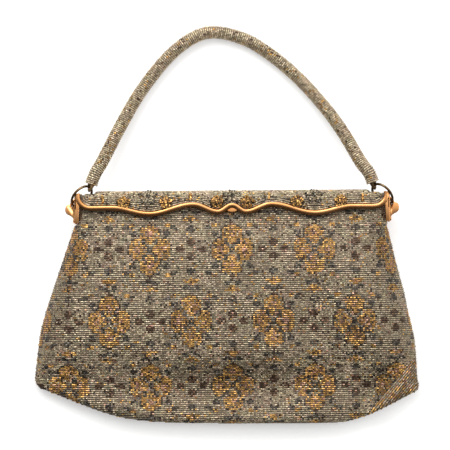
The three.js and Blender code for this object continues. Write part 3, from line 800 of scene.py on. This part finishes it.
# A ring of beads about a centre, sewn loosely so that they lie a little crooked
def flowerPlaces(centre, ring, count, start, lift, squash=0.85, loose=0.35):
    places = []
    for i in range(count):
        angle = start + math.tau * i / count + flowerRandom.uniform(-loose, loose) / max(1.0, ring)
        far = ring + flowerRandom.uniform(-loose, loose)
        across = centre["across"] + far * math.cos(angle)
        height = lift + flowerRandom.uniform(-loose, loose)
        place, out = stripPlace(across, centre["length"] + far * squash * math.sin(angle), 1, height)
        turn = angle + flowerRandom.uniform(-2, 2) * loose
        along = Vector((-math.sin(turn), math.cos(turn) * out.z, -math.cos(turn) * out.y))
        places.append((place, along, out))
    return places


# One part of a flower: a ring, or loops that stand round the centre
def partPlaces(centre, far, petals, loop, count, start, lift):
    if not petals:
        return flowerPlaces(centre, far, count, start, lift)
    places = []
    for i in range(petals):
        angle = math.tau * (i + 0.25) / petals
        petal = {"across": centre["across"] + far * math.cos(angle),
                 "length": centre["length"] + far * math.sin(angle)}
        places += flowerPlaces(petal, loop, count, angle, lift)
    return places


flowers = {kind: [] for kind in flowerPieces}
for centres, parts in ((rosettes, rosetteParts), (leaves, leafParts)):
    for centre in centres:
        for bead, *sizes in parts:
            flowers[bead] += partPlaces(centre, *sizes)
for bar in bars:
    for i in range(-barBeads["half"], barBeads["half"] + 1):
        centre = {"across": bar["across"] + barBeads["stagger"] * (i % 2),
                  "length": bar["length"] + i * barBeads["step"]}
        flowers["gold"] += flowerPlaces(centre, barBeads["ring"], 1, 0.0, barBeads["lift"])
for kind, (name, seed) in flowerPieces.items():
    sewBeads(f"front_strip_{name}", flowers[kind], kind, flowerBead, seed)
print("strip flowers", sum(len(places) for places in flowers.values()))

# Gilt rails: a rounded moulding swept along the wave
hinge = Vector((strip["middleX"], strip["hingeY"], strip["hingeZ"])) * mm


def polyline(name, points, closed):
    curve = bpy.data.curves.new(name, "CURVE")
    curve.dimensions = "3D"
    curve.twist_mode = "Z_UP"
    spline = curve.splines.new("POLY")
    spline.points.add(len(points) - 1)
    for spot, point in zip(spline.points, points):
        spot.co = (*point, 1)
    spline.use_cyclic_u = closed
    return newObject(name, curve)


# A section swept along a line, with closed ends
def sweepTree():
    tree, given = newTree("sweptMoulding", {"Line": "Object", "Section": "Object", "Finish": "Material"})
    line = addNode(tree, "GeometryNodeObjectInfo", {"Object": given["Line"]})
    section = addNode(tree, "GeometryNodeObjectInfo", {"Object": given["Section"]})
    swept = addNode(
        tree, "GeometryNodeCurveToMesh",
        {"Curve": line.outputs["Geometry"], "Profile Curve": section.outputs["Geometry"], "Fill Caps": True})
    return endTree(tree, swept.outputs["Mesh"], given["Finish"])


sweptMoulding = sweepTree()


def sweep(name, line, section, material):
    piece = newObject(name, bpy.data.meshes.new(name))
    moulding = piece.modifiers.new("moulding", "NODES")
    moulding.node_group = sweptMoulding
    setInputs(moulding, {"Line": line, "Section": section, "Finish": material})
    settle(piece)
    bpy.data.objects.remove(line)
    bpy.data.objects.remove(section)
    return piece


plateEdge = {"sharp": 0.9, "segments": 2, "profile": 0.6}


# A flat plate from an outline, with its edges rounded
def plate(points, thickness, rounding):
    work = bmesh.new()
    corners = [work.verts.new((x * mm, y * mm, 0)) for x, y in points]
    face = work.faces.new(corners)
    grown = bmesh.ops.extrude_face_region(work, geom=[face])
    top = [v for v in grown["geom"] if isinstance(v, bmesh.types.BMVert)]
    bmesh.ops.translate(work, verts=top, vec=(0, 0, thickness * mm))
    bmesh.ops.recalc_face_normals(work, faces=work.faces)
    sharp = [e for e in work.edges if len(e.link_faces) == 2 and e.calc_face_angle() > plateEdge["sharp"]]
    bmesh.ops.bevel(work, geom=sharp, offset=rounding * mm, segments=plateEdge["segments"],
                    profile=plateEdge["profile"], affect="EDGES")
    mesh = bpy.data.meshes.new("plate")
    work.to_mesh(mesh)
    work.free()
    smooth(mesh)
    return mesh


# An outline through corners, and through bends with the corner that each one ends at
def curveThrough(points, steps=8):
    line = [points[0]]
    for item in points[1:]:
        if isinstance(item[0], tuple):
            (bx, by), (ex, ey) = item
            sx, sy = line[-1]
            for i in range(1, steps + 1):
                t = i / steps
                line.append(((1 - t) ** 2 * sx + 2 * t * (1 - t) * bx + t * t * ex,
                             (1 - t) ** 2 * sy + 2 * t * (1 - t) * by + t * t * ey))
        else:
            line.append(item)
    return line


# End arms, in depth and up, and the scroll lugs outside the front ones, in across and up
arms = {"thickness": 1.35, "frontAcross": 106.9, "backAcross": 105.25, "rounding": 0.28}
armOutline = curveThrough([(11, 18.4), (11, 7.5), ((11, -2.5), (0, -2.5)), ((-2.5, -2.5), (-2.5, 0)),
                           ((-2.5, 2.5), (0, 2.5)), ((4.6, 2.5), (4.6, 7.5)), (4.6, 18.4)])
lugs = {"outline": curveThrough([(106, 15.4), ((109, 14), (110, 11.6)), ((110.1, 10.9), (111, 10.9)),
                                 ((113.1, 10.6), (113.3, 7.7)), ((113.5, 4.8), (110.8, 3.7)),
                                 ((108.3, 2.7), (107, 0.2)), (106, 0.2)]),
        "back": 4.7, "thickness": 1.8, "rounding": 0.4}
# The front faces of the front arms
flange = {"outline": [(106.9, 18.4), (106.9, -2), (104.3, -2), (103.4, 18.4)],
          "back": 9.6, "thickness": 1.4, "rounding": 0.35}
liftTab = {"outline": curveThrough([(-4.2, 8.6), ((-4.2, 5.0), (0, 5.0)), ((4.2, 5.0), (4.2, 8.6))], 10),
           "back": 8.6, "thickness": 1.6, "rounding": 0.4, "top": 8.6, "lean": 0.14}


def armPlate(side, face, outer):
    mesh = plate(armOutline, arms["thickness"], arms["rounding"])
    # the outline's first direction is depth, its second up, its thickness across
    place = Matrix(((0, 0, 1, 0), (0, 1, 0, 0), (face, 0, 0, 0), (0, 0, 0, 1)))
    shift = (outer - arms["thickness"]) if side > 0 else -outer
    mesh.transform(Matrix.Translation(hinge + Vector((shift * mm, 0, 0))) @ place)
    return mesh


# A plate level with the front, on its side of the frame
def levelPlate(sizes, side):
    mesh = plate([(side * a, u) for a, u in sizes["outline"]], sizes["thickness"], sizes["rounding"])
    mesh.transform(Matrix.Translation(hinge + Vector((0, 0, sizes["back"] * mm))))
    return mesh


def joinMeshes(piece, meshes):
    work = bmesh.new()
    work.from_mesh(piece.data)
    for mesh in meshes:
        work.from_mesh(mesh)
        bpy.data.meshes.remove(mesh)
    bmesh.ops.recalc_face_normals(work, faces=work.faces)
    work.to_mesh(piece.data)
    work.free()
    return piece


rings = {"wire": 0.85, "room": 1.25, "around": 72, "sides": 14, "roomSides": 12}


# Middle, radius and way across of a ring, read from its node
def ringFacts(nodeName):
    mesh = mergedMesh(nodeName, "ringFacts")
    points = np.array([v.co for v in mesh.vertices])
    bpy.data.meshes.remove(mesh)
    middle = points.mean(0)
    across = np.linalg.svd(points - middle)[2][2]
    flat = points - middle - np.outer((points - middle) @ across, across)
    return Vector(middle), float(np.linalg.norm(flat, axis=1).mean()), Vector(across)


def torusMesh(nodeName, wire, sides):
    middle, radius, across = ringFacts(nodeName)
    around = rings["around"]
    turn = across.to_track_quat("Z", "Y").to_matrix().to_4x4()
    points, faces = [], []
    for i in range(around):
        a = math.tau * i / around
        for j in range(sides):
            b = math.tau * j / sides
            reach = radius + wire * math.cos(b)
            points.append(Vector((reach * math.cos(a), reach * math.sin(a), wire * math.sin(b))))
            i2, j2 = (i + 1) % around, (j + 1) % sides
            faces.append((i * sides + j, i2 * sides + j, i2 * sides + j2, i * sides + j2))
    mesh = meshFrom(nodeName, points, faces)
    mesh.transform(Matrix.Translation(middle) @ turn)
    smooth(mesh)
    return mesh


def cutRingRoom(mesh, side):
    name = "ring_left" if side < 0 else "ring_right"
    piece = newObject("cutPlate", mesh)
    room = torusMesh(name, rings["room"] * mm, rings["roomSides"])
    cutter = newObject("ringRoom", room)
    cut = piece.modifiers.new("ring room", "BOOLEAN")
    cut.operation = "DIFFERENCE"
    cut.solver = "EXACT"
    cut.object = cutter
    settle(piece)
    made = piece.data
    bpy.data.objects.remove(cutter)
    bpy.data.objects.remove(piece)
    return made


def railPiece(name, face):
    depth = (rail["back"] + rail["front"]) / 2
    line = polyline("railLine", [hinge + Vector((a, u, face * depth)) * mm for a, u in railLine()], False)
    section = polyline("railSection", [(-u * mm, -face * out * mm, 0) for out, u in rail["section"]], True)
    piece = sweep(name, line, section, gilt)
    smooth(piece.data)
    piece.data.set_sharp_from_angle(angle=rail["sharp"])
    return piece


frontRail = railPiece("front_rail_gilt", 1)
lugPiece = newObject("ring_lugs_gilt", bpy.data.meshes.new("ring_lugs_gilt"))
frontPlates = []
for side in (-1, 1):
    frontPlates.append(cutRingRoom(levelPlate(lugs, side), side))
    frontPlates.append(cutRingRoom(armPlate(side, 1, arms["frontAcross"]), side))
joinMeshes(lugPiece, frontPlates)
tabMesh = levelPlate(liftTab, 1)
for point in tabMesh.vertices:
    # The lip stands out at its foot, for the thumb
    point.co.z += (hinge.y + liftTab["top"] * mm - point.co.y) * liftTab["lean"]
joinMeshes(frontRail, [tabMesh, levelPlate(flange, -1), levelPlate(flange, 1)])
dress(frontRail, gilt, "gilt", "front_rail")
dress(lugPiece, gilt, "gilt")
backRail = railPiece("back_rail_gilt", -1)
joinMeshes(backRail, [armPlate(-1, -1, arms["backAcross"]), armPlate(1, -1, arms["backAcross"])])
dress(backRail, gilt, "gilt", "back_rail")
print("rails swept")

# Rings, clips and rivets
clipEdge = {"rounding": 0.25, "segments": 2, "sharp": 0.6}
for side in ("left", "right"):
    wire = torusMesh(f"ring_{side}", rings["wire"] * mm, rings["sides"])
    ring = newObject(f"ring_{side}_wire", wire)
    dress(ring, antiqueBrass, "antique_brass", f"ring_{side}")
    for nodeName, material, slotName in ((f"clip_{side}", antiqueBrass, "antique_brass"),
                                         (f"hinge_pin_{side}", gilt, "gilt")):
        piece = newObject(f"{nodeName}_metal", mergedMesh(nodeName, f"{nodeName}_metal"))
        rounding = piece.modifiers.new("rounding", "BEVEL")
        rounding.width = clipEdge["rounding"] * mm
        rounding.segments = clipEdge["segments"]
        rounding.limit_method = "ANGLE"
        rounding.angle_limit = clipEdge["sharp"]
        settle(piece)
        smooth(piece.data)
        dress(piece, material, slotName, nodeName)
print("rings, clips and rivets done")

# Handle: a padded tube along its route, across and up from the frame's middle and height above the table
handle = {
    "radius": 3.75, "beadReach": 3.9, "steps": 260, "fine": 24, "sides": 20, "rows": 1.36, "across": 1.18,
    "strings": {"taupe": 0.78, "silver": 0.14, "gold": 0.05, "brown": 0.03},
    "route": [(-95.4, 25.0, 17.35), (-92.8, 31.8, 17.1), (-87.2, 41.3, 14.4), (-76.1, 62.7, 9),
              (-65, 82.1, 6), (-54, 97.7, 4.8), (-43, 110.5, 4.6), (-32, 120, 4.6), (-21, 126, 4.6),
              (-12.8, 127.55, 4.6), (-4.6, 126.8, 4.6), (6.3, 123.8, 4.6), (17.1, 118.6, 4.6),
              (33.4, 106.9, 4.6), (49.7, 91.7, 4.9), (65.9, 72.8, 6.4), (76.7, 57.1, 9.4), (87.5, 38.4, 15),
              (92.9, 31.4, 17.1), (95.4, 25.0, 17.35)],
}
handleBead = {"length": 1.04, "width": 1.14, "sides": 6, "tilt": 0.3}


# Even steps along a smooth curve through the route's points
def handleLine(steps):
    route = [Vector(p) for p in handle["route"]]
    route = [route[0] * 2 - route[1]] + route + [route[-1] * 2 - route[-2]]
    fine = []
    for a, b, c, d in zip(route, route[1:], route[2:], route[3:]):
        for i in range(handle["fine"]):
            t = i / handle["fine"]
            fine.append(0.5 * (2 * b + (c - a) * t + (2 * a - 5 * b + 4 * c - d) * t ** 2
                               + (3 * b - a - 3 * c + d) * t ** 3))
    fine.append(route[-2])
    fine = np.array([(p.x + strip["middleX"], p.y + strip["hingeY"], p.z) for p in fine]) * mm
    length = lengthAlong(fine)
    return valuesAt(np.linspace(0, length[-1], steps + 1), length, fine), length[-1]


def handleFrames(line):
    tangents = np.gradient(line, axis=0)
    frames = []
    for point, tangent in zip(line, tangents):
        t = Vector(tangent).normalized()
        side = t.cross(Vector((0, 0, 1))).normalized()
        frames.append((Vector(point), t, side, side.cross(t)))
    return frames


line, handleLength = handleLine(handle["steps"])
frames = handleFrames(line)
points, faces = [], []
sides = handle["sides"]
for i, (centre, _, side, up) in enumerate(frames):
    for j in range(sides):
        a = math.tau * j / sides
        points.append(centre + (side * math.cos(a) + up * math.sin(a)) * handle["radius"] * mm)
        if i:
            k = (j + 1) % sides
            faces.append(((i - 1) * sides + j, i * sides + j, i * sides + k, (i - 1) * sides + k))
faces.append(tuple(range(sides)))
faces.append(tuple((len(frames) - 1) * sides + j for j in reversed(range(sides))))
tube = newObject("handle_padded_tube", meshFrom("handle_padded_tube", points, faces))
joinMeshes(tube, [])  # turns its faces outwards
smooth(tube.data)
dress(tube, cloth, "handle_beads", "handle")

rng = random.Random(51)
handlePlaces = []
rowCount = int(handleLength / (handle["rows"] * mm))
line, _ = handleLine(rowCount)
perRow = round(math.tau * handle["beadReach"] / handle["across"])
for i, (centre, along, side, up) in enumerate(handleFrames(line)):
    for j in range(perRow):
        a = math.tau * (j + 0.5 * (i % 2)) / perRow
        out = side * math.cos(a) + up * math.sin(a)
        place = shaken(centre + out * handle["beadReach"] * mm, rng)
        handlePlaces.append((place, along.cross(out), out))
handleBeads = mixedStrings(handlePlaces, handle["strings"], seed=53)
for kind, places in handleBeads.items():
    sewBeads(f"handle_{kind}_beads", places, kind, handleBead, seed=52, slotName="handle_beads")
print("handle beads", counts(handleBeads))

# Floor: a white acrylic light table, frosted, lit a little from below so that shadows stay faint
lightTable = {"half": 6, "grain": 30, "dark": "#cfcfce", "light": "#d4d4d3", "roughness": 0.9, "glow": 0.45}
reach = lightTable["half"]
corners = [(-reach, -reach, 0), (reach, -reach, 0), (reach, reach, 0), (-reach, reach, 0)]
floor = newObject("floor", meshFrom("floor", corners, [(0, 1, 2, 3)]))
acrylic, tree, place = newMaterial("white acrylic light table")
frost = addNode(
    tree, "ShaderNodeTexNoise", {"Vector": place, "Scale": 1 / (lightTable["grain"] * mm), "Detail": 3.0})
ramp = addNode(tree, "ShaderNodeValToRGB", {"Fac": frost.outputs["Fac"]})
dark, light = ramp.color_ramp.elements
dark.color = toLinear(lightTable["dark"])
light.color = toLinear(lightTable["light"])
finishMaterial(acrylic, {"Base Color": ramp.outputs["Color"], "Roughness": lightTable["roughness"],
                         "Emission Color": (1, 1, 1, 1), "Emission Strength": lightTable["glow"]})
floor.data.materials.append(acrylic)

# A wide overhead softbox that fades towards the viewer's side of the table, and three lamps
studio = {"low": 0.04, "high": 2.7, "from": (0.0, 0.79, 0.61), "fadeFrom": 0.42, "fadeTo": 0.97}
# Place, size and power
lamps = {
    "key": ((-0.45, 0.9, 0.95), (1.0, 0.6), 10.0),
    "left": ((-1.1, -0.1, 0.9), (0.6, 1.0), 0.6),
    "right": ((1.1, 0.0, 0.9), (0.6, 1.0), 6.0),
}
world = bpy.data.worlds.new("studio")
world.use_nodes = True
sky = world.node_tree
way = addNode(sky, "ShaderNodeTexCoord")
height = addNode(sky, "ShaderNodeVectorMath", {0: way.outputs["Generated"], 1: studio["from"]},
                 operation="DOT_PRODUCT")
fade = addNode(
    sky, "ShaderNodeMapRange",
    {"Value": height.outputs["Value"], "From Min": studio["fadeFrom"], "From Max": studio["fadeTo"],
     "To Min": studio["low"], "To Max": studio["high"]})
sky.links.new(fade.outputs["Result"], sky.nodes["Background"].inputs["Strength"])
sky.nodes["Background"].inputs["Color"].default_value = (1, 1, 1, 1)
bpy.context.scene.world = world
for name, (place, size, power) in lamps.items():
    light = bpy.data.lights.new(name, "AREA")
    light.shape = "RECTANGLE"
    light.size, light.size_y = size
    light.energy = power
    softLight = newObject(name, light)
    softLight.location = place
    softLight.rotation_euler = (-Vector(place)).to_track_quat("-Z", "Y").to_euler()

# Camera straight above the bag, framed at the height of its front
view = {"height": 5.0, "front": 12, "middle": (-0.5, 0.2), "across": 305.7, "roll": -0.45, "sensor": 36.0}
lens = bpy.data.cameras.new("camera")
lens.sensor_width = view["sensor"]
lens.lens = view["sensor"] * (view["height"] - view["front"] * mm) / (view["across"] * mm)
camera = newObject("camera", lens)
camera.location = (view["middle"][0] * mm, view["middle"][1] * mm, view["height"])
camera.rotation_euler = (0, 0, math.radians(view["roll"]))
bpy.context.scene.camera = camera
bpy.context.scene.view_settings.view_transform = "Standard"
